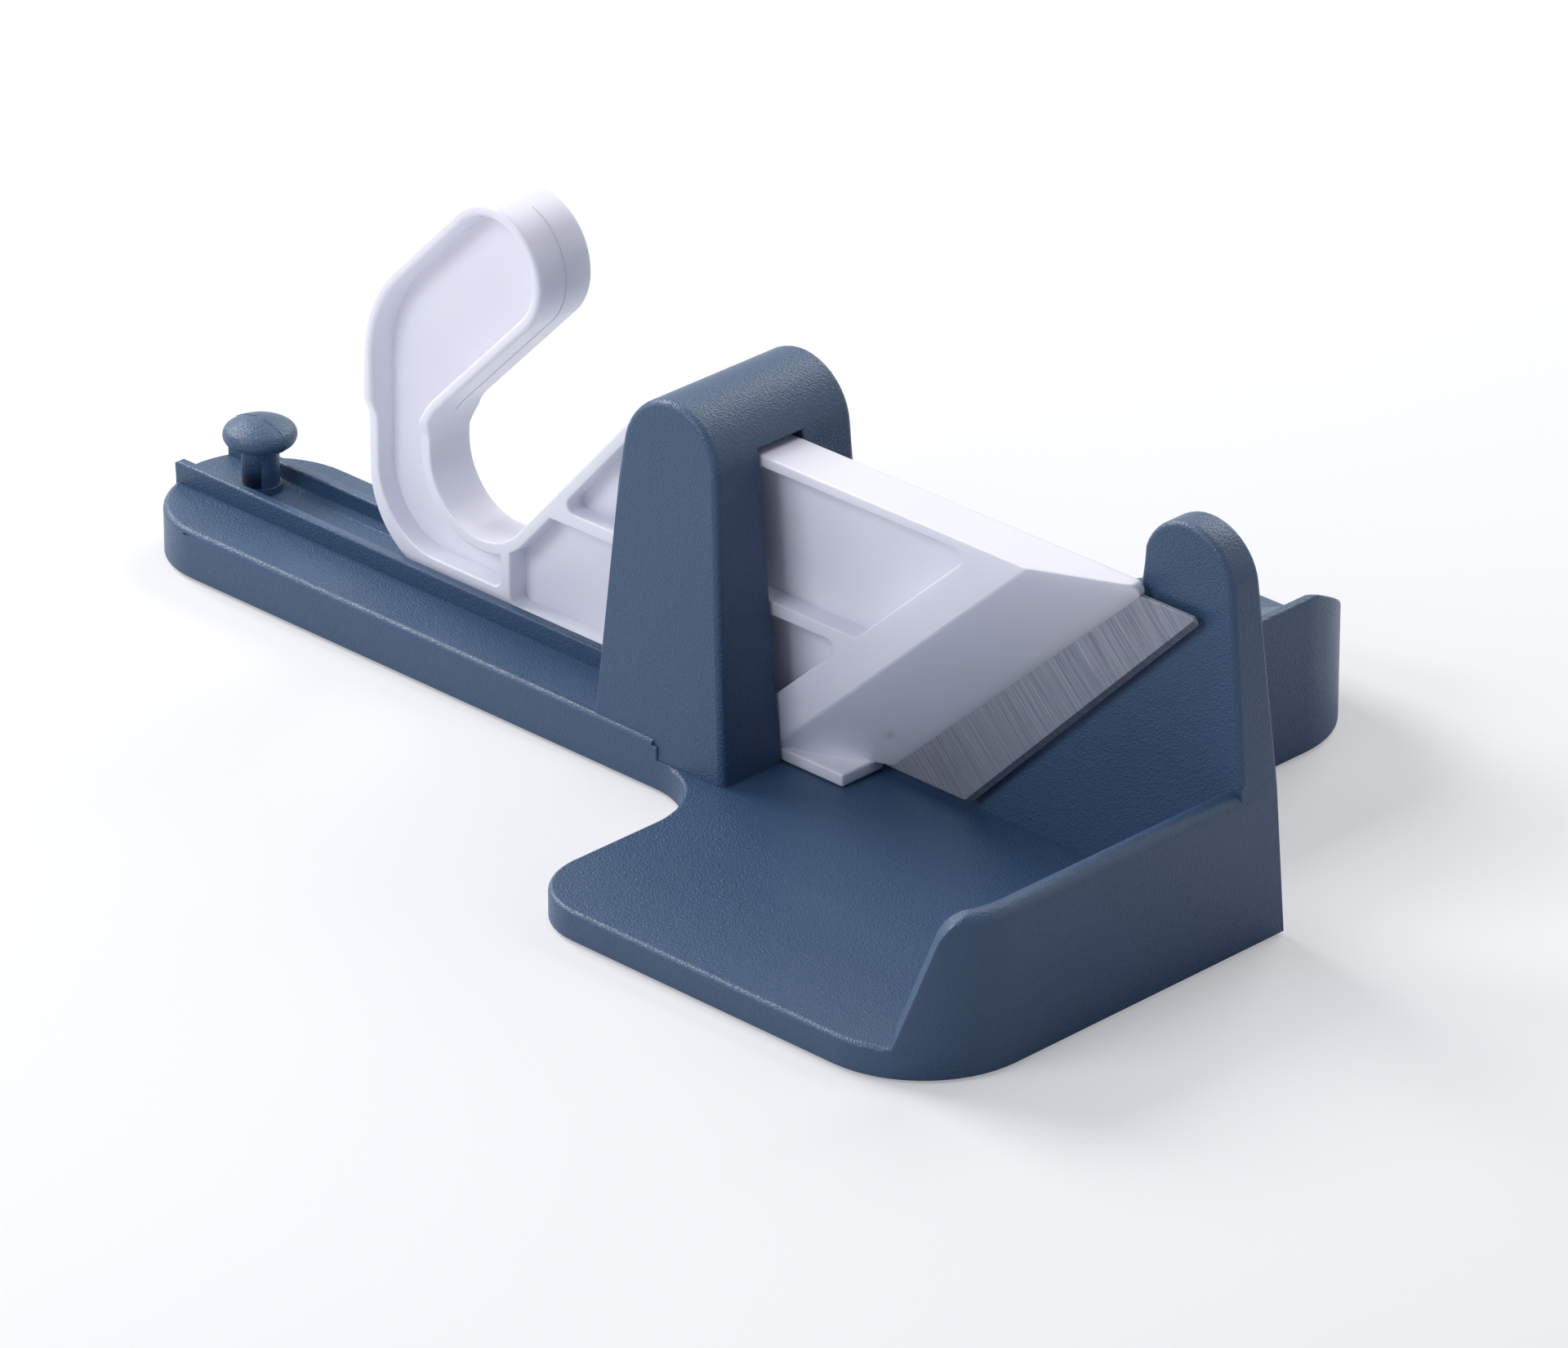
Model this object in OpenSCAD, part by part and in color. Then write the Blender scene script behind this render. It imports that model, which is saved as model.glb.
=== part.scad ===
// Sausage guillotine: a moulded base with a sliding blade carriage and its stop pin.
// Millimetres, +Z up, +X the way the blade pushes; the origin is on the table
// under the middle of the base.

/* [Overall] */
// Length of the base along the slide
base_length = 382; // [372:1:400]
// Width of the raised strip that carries the channel
strip_width = 57.2; // [55:0.2:62]
// How far the cutting tray reaches out in front of the strip
near_tray_reach = 75.5; // [68:0.5:90]
// How far the sausage tray reaches out behind the strip
far_tray_reach = 113.3; // [100:0.5:130]
// Height that the rubber feet stand proud of the base
foot_proud = 1; // [0.6:0.1:2]

/* [Base heights] */
// Top of the cutting tray
tray_height = 8.4; // [8:0.1:9.6]
// Top of the ledges of the strip
ledge_height = 14.1; // [12.5:0.1:15]
// Floor of the channel
channel_height = 15.6; // [15.2:0.1:17]
// Top of the two low rails
rail_height = 20.2; // [18.5:0.1:24]
// Thickness of the two low rails
rail_thickness = 3.1; // [2.4:0.1:4]
// Length of channel between the tower's foot and the step in its floor
step_gap = 1; // [0.5:0.1:3]
// Rounding of the rails' left ends
rail_end_round = 3; // [1:0.1:4]
// Rounding of the strip's upper edge
ledge_round = 1.8; // [1:0.1:2.4]
// Rounding of the cutting tray's upper edge
tray_round = 1.5; // [0.8:0.1:2]

/* [Cutting tray] */
// Width of the cutting tray
near_tray_width = 147.7; // [140:0.5:150]
// Plan rounding of its front corner beside the tower
near_left_corner = 20.9; // [15:0.5:30]
// Plan rounding of its front corner at the fence
near_right_corner = 32.6; // [28:0.5:40]
// Plan rounding where a tray meets the strip
neck_round = 24.4; // [18:0.5:27]
// Height of the fences
fence_height = 45.2; // [40:0.5:50]
// Thickness of the near fence
fence_thickness = 7; // [5.5:0.5:8]
// Slope of the near fence's cut end
fence_end_slope = 69.4; // [60:0.5:75]
// Turn round the front corner where that cut meets the tray
fence_end_turn = 60; // [50:1:70]
// Rounding between the near fence's top and its cut end
fence_end_round = 12; // [6:1:16]

/* [Sausage tray] */
// Width of the sausage tray
far_tray_width = 82.3; // [78:0.5:86]
// Thickness of its fence
far_fence_thickness = 3.2; // [3:0.1:5]
// Distance from its fence to the right end of the base
far_tray_inset = 64.5; // [61:0.5:68]
// Plan rounding of the corner at the fence
far_right_corner = 34.1; // [28:0.5:38]
// Plan rounding of the other far corner
far_left_corner = 30.8; // [25:0.5:36]
// Plan rounding between the sausage tray and the post
far_nook_round = 4; // [2:0.5:8]
// Lowest height of the trough
trough_floor = 19.8; // [18.5:0.1:22]
// Radius of the trough and of the opening in the wall
opening_radius = 88.9; // [87:0.1:91]
// How far the opening bites into the side of the post
opening_scallop = 0.9; // [0.6:0.1:1.5]
// How far the tray's far end runs out below the trough
run_out = 1; // [0.6:0.1:1.6]
// Length of level fence behind the strip
far_fence_level = 84; // [70:1:90]
// Slope of the fence's falling end, in height for each length
far_fence_fall = 0.42; // [0.3:0.02:0.6]

/* [Tower] */
// Outer foot of the tower, from the middle of the base
tower_right = 44.1; // [43:0.1:45]
// Width of the tower at its foot
tower_foot_width = 49.9; // [48:0.1:52]
// Height of the tower
tower_height = 109.6; // [107:0.1:114]
// Lean of the tower's side towards the handle
tower_left_taper = 3.8; // [3:0.1:5]
// Lean of the tower's side towards the blade
tower_right_taper = 5.2; // [4:0.1:6]
// Lean of the tower's near face
tower_draft = 3.8; // [2:0.1:4]
// Thickness of the tower's near leg
slot_near = 22.4; // [21:0.1:24]
// Width of the slot and of the channel
slot_width = 16.5; // [16:0.1:17.5]
// Height of the slot's roof
slot_top = 97; // [96.4:0.1:98.5]

/* [Wall and post] */
// Distance from the strip's near side to the wall
wall_near = 40.4; // [39.6:0.1:42]
// Height of the post
post_height = 114.8; // [110:0.1:118]
// Width of the post at its foot
post_foot_width = 36.5; // [34:0.5:40]
// Lean of the post's outer side
post_taper = 4.8; // [3:0.1:6]
// Height where the post's outer side starts to lean
post_lean_height = 42; // [30:1:60]
// Lean of the far face of the wall and the post
post_draft = 3.4; // [2:0.1:4]

/* [Shell] */
// Thickness of the base's walls
wall = 3; // [2.4:0.1:3.4]
// Thickness of the stiffening ribs underneath
rib = 2; // [1.5:0.1:2.6]
// Distance between the stiffening ribs
rib_pitch = 40; // [34:1:50]

/* [Carriage] */
// Side clearance of the carriage in its slot
side_gap = 0.6; // [0.3:0.05:0.8]
// Height clearance under the carriage
lift_gap = 0.3; // [0.2:0.05:0.4]
// Top of the carriage above the underside of the base
carriage_top = 95.1; // [94:0.1:95.6]
// Thickness of the carriage's top flange
top_flange = 3.3; // [2.6:0.1:4]
// Thickness of the middle web
web = 3.1; // [2.4:0.1:4]
// Height of the long rib's underside
long_rib_height = 50; // [46:0.5:56]
// Thickness of the long rib
long_rib = 4.1; // [3:0.1:5]
// Thickness of the bottom runner ahead of the upright rib
runner = 3.2; // [2.6:0.1:4]
// Angle of the sloping ridge and of the deflector
ridge_angle = 42.3; // [41:0.1:43.5]
// Where the ridge reaches the top, from the middle of the base
ridge_x = 131.3; // [129:0.1:133]
// Length along the slide that the deflector covers
deflector_run = 30.6; // [28:0.1:32]
// Width of the sloping band behind the ridge
ridge_band = 11.1; // [10:0.1:12]
// Rounding of the pockets' corners
pocket_round = 2.4; // [1.5:0.1:3]
// Rounding of the nose
nose_round = 2.6; // [1.5:0.1:3.5]
// Front end of the sliding foot from the middle of the base
foot_front = 65.3; // [63:0.1:67]
// Height of the sliding foot
foot_height = 3.6; // [3:0.1:4]
// Heel of the sliding foot behind the tower's outer side
heel_inset = 3; // [2:0.5:5]

/* [Handle] */
// Width of the hand grip
grip_width = 19.8; // [18:0.1:22]
// Rear side of the grip from the middle of the base
grip_rear = 114.5; // [112:0.1:117]
// Front side of the grip's upright, from the middle of the base
grip_front = 90.6; // [89:0.1:92]
// Height of the middle of the grip's rounded tip
tip_height = 117; // [114:0.5:120]
// Middle of the grip's rounded tip, back from the middle of the base
tip_back = 63.6; // [62:0.1:65]
// Radius of the grip's rounded tip
tip_round = 18.7; // [17.5:0.1:19.5]
// Rounding of the grip's rear bend
rear_bend = 42.2; // [36:0.5:46]
// Rounding of the handle's heel
heel_round = 26.4; // [22:0.5:28]
// Rounding of the finger gap's upper bend
gap_bend = 18.7; // [15:0.5:21]
// Rounding of the finger gap's bottom
gap_round = 19.2; // [18:0.1:20]
// Height of the middle of that rounding
gap_height = 53.9; // [53:0.1:55]
// Slope of the brace in front of the finger gap
brace_angle = 47.8; // [47:0.1:49]
// Thickness of the handle's rim
rim = 3.5; // [2.8:0.1:4]
// Height of the rim's thick bottom
rim_bottom = 22.7; // [21:0.1:24]
// Rounding of the rim inside the heel
rim_heel_round = 21.5; // [16:0.5:24]
// Rear side of the upright rib, back from the middle of the base
upright_back = 64; // [63:0.1:66]
// Thickness of the upright rib
upright = 4; // [3:0.1:5]
// Height where the grip starts to widen
shoulder_low = 58.3; // [56:0.5:60]
// Height where the grip has its full width
shoulder_high = 63.8; // [62:0.5:68]

/* [Blade and screws] */
// Thickness of the blade
blade_thickness = 1.5; // [1.2:0.1:1.7]
// Cutting edge at the height of the tray, from the middle of the base
edge_x = 95.8; // [94:0.1:97]
// Length of the blade along the slide
blade_run = 52.1; // [50:0.1:53]
// Height of the blade's lower end above the carriage's sole
blade_lift = 2.6; // [2:0.1:3]
// Clearance round the hidden edges of the blade
blade_gap = 0.3; // [0.2:0.05:0.4]
// Width of the ground bevel along the cutting edge
ground_width = 1.5; // [1.2:0.1:2.5]
// Rounding of the blade's corners
blade_round = 1.6; // [0.8:0.1:2]
// Distance of the screws from the blade's back edge, along the slide
screw_run = 13.2; // [11:0.1:15]
// Height of the lowest screw
screw_low = 24.2; // [22:0.1:28]
// Height between the screws
screw_pitch = 27.5; // [22:0.1:29]
// Diameter of the screws
screw_d = 3; // [2.5:0.1:3.5]
// Diameter of the screws' heads
screw_head_d = 5.6; // [5:0.1:6.5]
// Length of the screws
screw_length = 5.6; // [5:0.1:6.2]

/* [Stop pin] */
// Distance of the pin from the left end of the base
pin_inset = 24.2; // [21:0.1:27]
// Diameter of the knob
knob_d = 20.8; // [18:0.1:22]
// Radius of the knob's rim
knob_rim = 2.9; // [2.4:0.1:3.4]
// Thickness of the knob
knob_height = 10.1; // [9:0.1:11]
// Diameter of the pin's stem
stem_d = 10.6; // [10:0.1:11.4]
// Height of the stem from its seat to the middle of the knob
stem_height = 14.5; // [13:0.1:17]
// Diameter of the spigot below the seat
spigot_d = 8; // [7:0.1:9]
// Length of the spigot
spigot_length = 12; // [10:0.5:14]
// Radial clearance of the spigot
spigot_gap = 0.08; // [0.05:0.01:0.1]
// Height of the seat above the channel floor
seat_height = 2; // [1.5:0.1:2.4]
// Width of the seat's rim round the stem
seat_rim = 0.7; // [0.5:0.1:1.8]

/* [Rubber feet] */
// Diameter of the feet
foot_d = 14; // [12:0.5:15]
// Depth of a foot in its cup
foot_sunk = 2; // [1.5:0.1:2.5]
// Distance of the feet from the base's outline
foot_margin = 19; // [17:0.5:22]

/* [Hidden] */
$fn = 96;
x_right = base_length / 2;
x_left = -x_right;
total_width = near_tray_reach + strip_width + far_tray_reach;
strip_y = near_tray_reach - total_width / 2;
end_round = strip_width / 2;
x_tray = x_right - near_tray_width;
x_far_right = x_right - far_tray_inset;
x_far_left = x_far_right - far_tray_width;
y_far = strip_width + far_tray_reach;
slot_far = slot_near + slot_width;
slot_mid = slot_near + slot_width / 2;
slack = wall / 2;
lap = rib / 20;
pin_back = x_right - pin_inset;

tower_left = tower_right - tower_foot_width;
tower_x = (tower_left + tower_right) / 2;
tower_top_left = tower_left + tower_height * tan(tower_left_taper);
tower_top_right = tower_right - tower_height * tan(tower_right_taper);
tower_round = (tower_top_right - tower_top_left)
    / (1 / tan(45 + tower_left_taper / 2) + 1 / tan(45 + tower_right_taper / 2));
x_step = tower_left - step_gap;

post_left = x_right - post_foot_width;
post_top_width = post_foot_width - (post_height - post_lean_height) * tan(post_taper);
post_round = post_top_width / (1 + 1 / tan(45 + post_taper / 2));
wall_top = post_height - post_round;
trough_z = trough_floor + opening_radius;
trough_x = post_left + opening_scallop - opening_radius;

carriage_near = slot_near + side_gap;
carriage_far = slot_far - side_gap;
sole = tray_height + lift_gap;
runner_sole = channel_height + lift_gap;
foot_top = sole + foot_height;
ridge_run = 1 / tan(ridge_angle);
deflector_x = ridge_x + deflector_run;
x_heel = tower_right - heel_inset;
long_rib_top = long_rib_height + long_rib;
flange_under = carriage_top - top_flange;
band_run = ridge_band / sin(ridge_angle);
blade_near = carriage_far - blade_thickness;
blade_low = sole + blade_lift;
blade_high = flange_under - blade_gap;
tip_line = tip_round * sqrt(2);
gap_foot = gap_height - gap_round / tan((180 - brace_angle - 90) / 2);
seat_z = channel_height + seat_height;

// Plan outlines are lists of corners [x, y, rounding], counter-clockwise.
function way(a, b) = (b - a) / norm(b - a);
function spot(c) = [c[0], c[1]];
function before(p, i) = spot(p[(i + len(p) - 1) % len(p)]);
function after(p, i) = spot(p[(i + 1) % len(p)]);
function back_way(p, i) = way(spot(p[i]), before(p, i));
function fore_way(p, i) = way(spot(p[i]), after(p, i));
function inner_angle(p, i) = acos(back_way(p, i) * fore_way(p, i));
function is_convex(p, i) = cross(-back_way(p, i), fore_way(p, i)) > 0;
function start_of(p, i) = spot(p[i]) + back_way(p, i) * p[i][2] / tan(inner_angle(p, i) / 2);
function end_of(p, i) = spot(p[i]) + fore_way(p, i) * p[i][2] / tan(inner_angle(p, i) / 2);
function to_middle(p, i) = way([0, 0], back_way(p, i) + fore_way(p, i)) / sin(inner_angle(p, i) / 2);
function middle_of(p, i) = spot(p[i]) + to_middle(p, i) * p[i][2];
function inset(p, d) = [
    for (i = [0 : len(p) - 1])
        let (side = is_convex(p, i) ? 1 : -1)
        let (c = spot(p[i]) + to_middle(p, i) * d * side)
        [c[0], c[1], p[i][2] > 0 ? max(p[i][2] - d * side, 0) : 0]
];

// The part of a corner's circle that lies beyond its chord, lapped a little over the chord.
module corner_round(p, i) {
    a = start_of(p, i);
    b = end_of(p, i);
    intersection() {
        translate(middle_of(p, i))
            circle(r = p[i][2]);
        polygon([a, spot(p[i]), b, (a + b) / 2 + way(spot(p[i]), middle_of(p, i)) * lap]);
    }
}

// A flat outline with true round corners.
module outline(p) {
    difference() {
        union() {
            polygon([for (i = [0 : len(p) - 1], k = [0, 1]) k == 0 ? start_of(p, i) : end_of(p, i)]);
            for (i = [0 : len(p) - 1])
                if (p[i][2] > 0 && is_convex(p, i))
                    corner_round(p, i);
        }
        for (i = [0 : len(p) - 1])
            if (p[i][2] > 0 && !is_convex(p, i))
                corner_round(p, i);
    }
}

// A ball inside the joint of two bars, so that they hold together.
module joint_ball(at, r) {
    translate(at)
        sphere(r = r - lap, $fn = 32);
}

// A round bar along corner i of an outline.
module corner_bar(p, r, i) {
    from = (is_convex(p, i) ? start_of(p, i) : end_of(p, i)) - middle_of(p, i);
    if (p[i][2] > 0) {
        translate(middle_of(p, i))
            rotate(atan2(from[1], from[0]))
                rotate_extrude(angle = 180 - inner_angle(p, i))
                    translate([p[i][2], 0])
                        circle(r = r, $fn = 32);
        joint_ball(start_of(p, i), r);
        joint_ball(end_of(p, i), r);
    }
}

// A round bar along the straight side that follows corner i.
module side_bar(p, r, i) {
    a = end_of(p, i);
    b = start_of(p, (i + 1) % len(p));
    if (norm(b - a) > rib / 10)
        translate(a)
            rotate([90, 0, atan2(b[1] - a[1], b[0] - a[0]) + 90])
                cylinder(r = r, h = norm(b - a), $fn = 32);
}

// A slab whose upper edge is rounded all the way round.
module soft_slab(p, height, r) {
    small = inset(p, r);
    linear_extrude(height - r)
        outline(p);
    linear_extrude(height)
        outline(small);
    translate([0, 0, height - r])
        for (i = [0 : len(p) - 1]) {
            corner_bar(small, r, i);
            side_bar(small, r, i);
        }
}

// Stands a side view, drawn in x and z, up between two planes of y.
module between(y0, y1) {
    translate([0, y1, 0])
        rotate([90, 0, 0])
            linear_extrude(y1 - y0)
                children();
}

// The same for a view drawn in y and z, between two planes of x.
module across(x0, x1) {
    translate([x0, 0, 0])
        rotate([90, 0, 90])
            linear_extrude(x1 - x0)
                children();
}

module bar_box(x0, x1, y0, y1, z0, z1) {
    translate([x0, y0, z0])
        cube([x1 - x0, y1 - y0, z1 - z0]);
}

// Everything is drawn from the strip's near side and the base's underside.
module at_base() {
    translate([0, strip_y, foot_proud])
        children();
}

// The base moulding.

base_plan = [
    [x_left, 0, end_round],
    [x_tray, 0, neck_round],
    [x_tray, -near_tray_reach, near_left_corner],
    [x_right, -near_tray_reach, near_right_corner],
    [x_right, strip_width, ledge_round * 2],
    [x_far_right, strip_width, far_nook_round],
    [x_far_right, y_far, far_right_corner],
    [x_far_left, y_far, far_left_corner],
    [x_far_left, strip_width, neck_round],
    [x_left, strip_width, end_round]
];

strip_plan = [
    [x_left, 0, end_round],
    [tower_x, 0, 0],
    [tower_x, strip_width, 0],
    [x_left, strip_width, end_round]
];

far_plan = [
    [x_far_left, wall_near + wall, 0],
    [x_far_right, wall_near + wall, 0],
    [x_far_right, y_far, far_right_corner],
    [x_far_left, y_far, far_left_corner]
];

tower_view = [
    [tower_left, 0, 0],
    [tower_right, 0, 0],
    [tower_top_right, tower_height, tower_round],
    [tower_top_left, tower_height, tower_round]
];

tower_side = [
    [0, 0, 0],
    [strip_width, 0, 0],
    [strip_width, tower_height + wall, 0],
    [(tower_height + wall) * tan(tower_draft), tower_height + wall, 0]
];

post_view = [
    [post_left, 0, 0],
    [x_right, 0, 0],
    [x_right, post_lean_height, post_height],
    [post_left + post_top_width, post_height, post_round],
    [post_left, post_height, post_round]
];

post_side = [
    [wall_near, 0, 0],
    [strip_width, 0, 0],
    [strip_width - (post_height + wall) * tan(post_draft), post_height + wall, 0],
    [wall_near, post_height + wall, 0]
];

module trough_round(r) {
    translate([trough_x, 0, trough_z])
        rotate([-90, 0, 0])
            cylinder(r = r, h = total_width * 2, center = true, $fn = 180);
}

// The near fence, along the right side and round the front corner.
module near_fence() {
    mid = middle_of(base_plan, 3);
    end = mid + near_right_corner * [cos(fence_end_turn), -sin(fence_end_turn)];
    crown = inset(base_plan, fence_thickness / 2);
    over = fence_height + rail_thickness / 10;
    intersection() {
        union() {
            linear_extrude(fence_height - fence_thickness / 2)
                intersection() {
                    difference() {
                        outline(base_plan);
                        outline(inset(base_plan, fence_thickness));
                    }
                    polygon([mid, mid + (end - mid) * 2, [x_right * 2, -total_width],
                        [x_right * 2, wall_near + wall], [mid[0], wall_near + wall]]);
                }
            translate([0, 0, fence_height - fence_thickness / 2]) {
                corner_bar(crown, fence_thickness / 2, 3);
                side_bar(crown, fence_thickness / 2, 3);
            }
        }
        bar_box(x_tray, x_right * 2, -total_width, wall_near + wall, 0, fence_height + slack);
        // the end is cut on a steep slope and rounded into the top
        translate([end[0], end[1], 0])
            rotate([0, 0, 45])
                between(-total_width, total_width)
                    outline([
                        [-tray_height / tan(fence_end_slope), 0, 0],
                        [total_width, 0, 0],
                        [total_width, over, 0],
                        [(over - tray_height) / tan(fence_end_slope), over, fence_end_round]
                    ]);
    }
}

// The wall, the post and the sausage tray with its fence, cut by one trough.
module back_body() {
    y_level = strip_width + far_fence_level;
    open_x = x_far_left - slack;
    difference() {
        union() {
            intersection() {
                between(wall_near, strip_width)
                    union() {
                        translate([tower_x, 0])
                            square([x_right - tower_x - post_round, wall_top]);
                        outline(post_view);
                    }
                across(tower_x, x_right)
                    outline(post_side);
            }
            linear_extrude(fence_height)
                outline(far_plan);
        }
        intersection() {
            trough_round(opening_radius);
            linear_extrude(total_width)
                union() {
                    outline(inset(far_plan, far_fence_thickness));
                    translate([open_x, wall_near])
                        square([x_far_right - far_fence_thickness - open_x, y_far - far_right_corner - wall_near]);
                    translate([open_x, wall_near])
                        square([x_far_right - far_right_corner - open_x, y_far * 2]);
                    translate([tower_x - slack, wall_near - slack])
                        square([x_right - tower_x, strip_width - wall_near + slack]);
                }
        }
        // the fence's end falls along the corner and runs out on the floor
        intersection() {
            translate([x_far_right, y_level, fence_height])
                rotate([0, 0, -45])
                    rotate([0, -atan(far_fence_fall * sqrt(2)), 0])
                        translate([-total_width, -total_width, 0])
                            cube([total_width * 2, total_width * 2, total_width]);
            bar_box(open_x, x_right, strip_width, y_far * 2, trough_floor - run_out, total_width);
        }
    }
}

// Low rail of the channel, its left end cut to the round end of the strip.
module rail(y) {
    intersection() {
        union() {
            bar_box(x_left, tower_x, y, y + rail_thickness, ledge_height - slack, rail_height - rail_thickness / 4);
            bar_box(x_left, tower_x, y + rail_thickness / 4, y + rail_thickness * 3 / 4, ledge_height, rail_height);
            for (dy = [1 / 4, 3 / 4])
                translate([x_left, y + rail_thickness * dy, rail_height - rail_thickness / 4])
                    rotate([0, 90, 0])
                        cylinder(r = rail_thickness / 4, h = tower_x - x_left, $fn = 32);
        }
        linear_extrude(rail_height * 2)
            outline(strip_plan);
        between(0, strip_width)
            outline([
                [x_left + rail_thickness / 4, 0, 0],
                [tower_x, 0, 0],
                [tower_x, rail_height + rail_thickness / 10, 0],
                [x_left + rail_thickness / 4, rail_height + rail_thickness / 10, rail_end_round]
            ]);
    }
}

// The flat part, its upper edge rounded where it shows in front.
module tray_slab() {
    small = inset(base_plan, tray_round);
    mid = middle_of(base_plan, 3);
    linear_extrude(tray_height - tray_round)
        outline(base_plan);
    linear_extrude(tray_height)
        outline(small);
    linear_extrude(tray_height)
        intersection() {
            outline(base_plan);
            translate([x_left, 0])
                square([base_length, y_far]);
        }
    translate([0, 0, tray_height - tray_round]) {
        corner_bar(small, tray_round, 1);
        corner_bar(small, tray_round, 2);
        side_bar(small, tray_round, 1);
        side_bar(small, tray_round, 2);
        joint_ball(start_of(small, 3), tray_round);
        translate(mid)
            rotate(-90)
                rotate_extrude(angle = 90 - fence_end_turn)
                    translate([near_right_corner - tray_round, 0])
                        circle(r = tray_round, $fn = 32);
    }
}

// All that stands on and above the table, before it is hollowed.
module base_body() {
    tray_slab();
    soft_slab(strip_plan, ledge_height, ledge_round);
    linear_extrude(channel_height)
        intersection() {
            outline(strip_plan);
            translate([x_left, slot_near - slack])
                square([x_step - x_left, slot_width + wall]);
        }
    rail(slot_near - rail_thickness);
    rail(slot_far);
    intersection() {
        between(0, strip_width)
            outline(tower_view);
        across(tower_left, tower_right)
            outline(tower_side);
    }
    back_body();
    near_fence();
}

// Round corner posts under the base that hold the rubber feet.
foot_spots = [
    [x_left + foot_margin, strip_width / 2],
    [x_tray + foot_margin, -near_tray_reach + foot_margin],
    [x_right - foot_margin, wall_near - foot_margin],
    [x_far_left + foot_margin, y_far - foot_margin]
];

// The space inside the base, open downwards.
module hollow() {
    inner = inset(base_plan, wall);
    difference() {
        union() {
            translate([0, 0, -slack])
                linear_extrude(tray_height - wall + slack)
                    outline(inner);
            // under the ledges and the channel
            translate([0, 0, -slack])
                linear_extrude(ledge_height - wall + slack)
                    outline(inset(strip_plan, wall));
            // inside the tower's two legs
            intersection() {
                for (side = [[wall, slot_near - wall], [slot_far + wall, strip_width - wall]])
                    between(side[0], side[1])
                        intersection() {
                            outline(inset(tower_view, wall));
                            translate([x_left, -wall * 2])
                                square([base_length, slot_top - wall * 2]);
                        }
                across(tower_left, tower_right)
                    outline(inset(tower_side, wall));
            }
            // inside the wall and the post
            intersection() {
                between(wall_near + wall, strip_width - wall)
                    difference() {
                        outline(inset([[tower_x, -wall * 2, 0], [x_right, -wall * 2, 0], post_view[2], post_view[3],
                            post_view[4], [post_left, wall_top, 0], [tower_x, wall_top, 0]], wall));
                        translate([trough_x, trough_z])
                            circle(r = opening_radius + wall, $fn = 180);
                    }
                across(tower_x, x_right)
                    translate([0, -wall * 2])
                        outline(inset(post_side, wall));
            }
            // under the trough
            difference() {
                translate([0, 0, -slack])
                    linear_extrude(fence_height - wall * 2)
                        outline(inset(far_plan, wall));
                trough_round(opening_radius + wall);
                bar_box(x_far_left, x_right, strip_width + far_fence_level - wall * 4, y_far * 2,
                    trough_floor - run_out - wall, fence_height);
            }
        }
        bar_box(x_step - wall, x_right, slot_near - wall, slot_far + wall, tray_height - wall, tower_height);
        // ribs
        for (x = [x_left + rib_pitch / 2 : rib_pitch : x_right])
            bar_box(x - rib / 2, x + rib / 2, -near_tray_reach, y_far, 0, fence_height);
        for (y = [-near_tray_reach + rib_pitch / 2 : rib_pitch : y_far])
            bar_box(x_left, x_right, y - rib / 2, y + rib / 2, 0, trough_floor + fence_thickness);
        for (p = foot_spots)
            translate([p[0], p[1], 0])
                cylinder(d = foot_d + wall * 2, h = trough_floor);
        translate([-pin_back, slot_mid, 0])
            cylinder(d = spigot_d + wall * 2, h = channel_height);
    }
}

module base() {
    color([0.27, 0.33, 0.41])
        at_base()
            difference() {
                union() {
                    base_body();
                    translate([-pin_back, slot_mid, 0])
                        cylinder(d1 = stem_d + seat_rim * 4, d2 = stem_d + seat_rim * 2, h = seat_z);
                }
                // slot through the tower and the lower floor beyond the step
                bar_box(x_step, tower_right + wall, slot_near, slot_far, tray_height, slot_top);
                hollow();
                for (p = foot_spots)
                    translate([p[0], p[1], -slack])
                        cylinder(d = foot_d, h = foot_sunk + slack);
                translate([-pin_back, slot_mid, seat_z - spigot_length - lift_gap])
                    cylinder(r = spigot_d / 2 + spigot_gap, h = seat_z * 2);
            }
}

// The carriage with its handle, seen from the near side.

gap_plan = [
    [-grip_front, gap_foot, gap_round],
    [base_length * cos(brace_angle) - grip_front, gap_foot + base_length * sin(brace_angle), 0],
    [base_length - grip_front, gap_foot + base_length, 0],
    [-grip_front, tip_height - tip_line - grip_front + tip_back, gap_bend]
];

grip_view = [
    [-grip_rear, shoulder_low - wall, 0],
    [-grip_front, shoulder_low - wall, 0],
    [-grip_front, tip_height - tip_line - grip_front + tip_back, gap_bend],
    [-tip_back + tip_line, tip_height, tip_round],
    [-tip_back, tip_height + tip_line, tip_round],
    [-grip_rear, tip_height + tip_line - grip_rear + tip_back, rear_bend]
];

carriage_view = [
    [-grip_rear, runner_sole, heel_round],
    [x_heel, runner_sole, 0],
    [x_heel, sole, 0],
    [foot_front, sole, 0],
    [foot_front, foot_top, 0],
    [deflector_x - (carriage_top - foot_top) * ridge_run, foot_top, 0],
    [deflector_x, carriage_top, nose_round],
    [(carriage_top - gap_foot) / tan(brace_angle) - grip_front, carriage_top, pocket_round],
    [-grip_front, gap_foot, gap_round],
    [-grip_front, tip_height - tip_line - grip_front + tip_back, gap_bend],
    [-tip_back + tip_line, tip_height, tip_round],
    [-tip_back, tip_height + tip_line, tip_round],
    [-grip_rear, tip_height + tip_line - grip_rear + tip_back, rear_bend]
];

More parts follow.
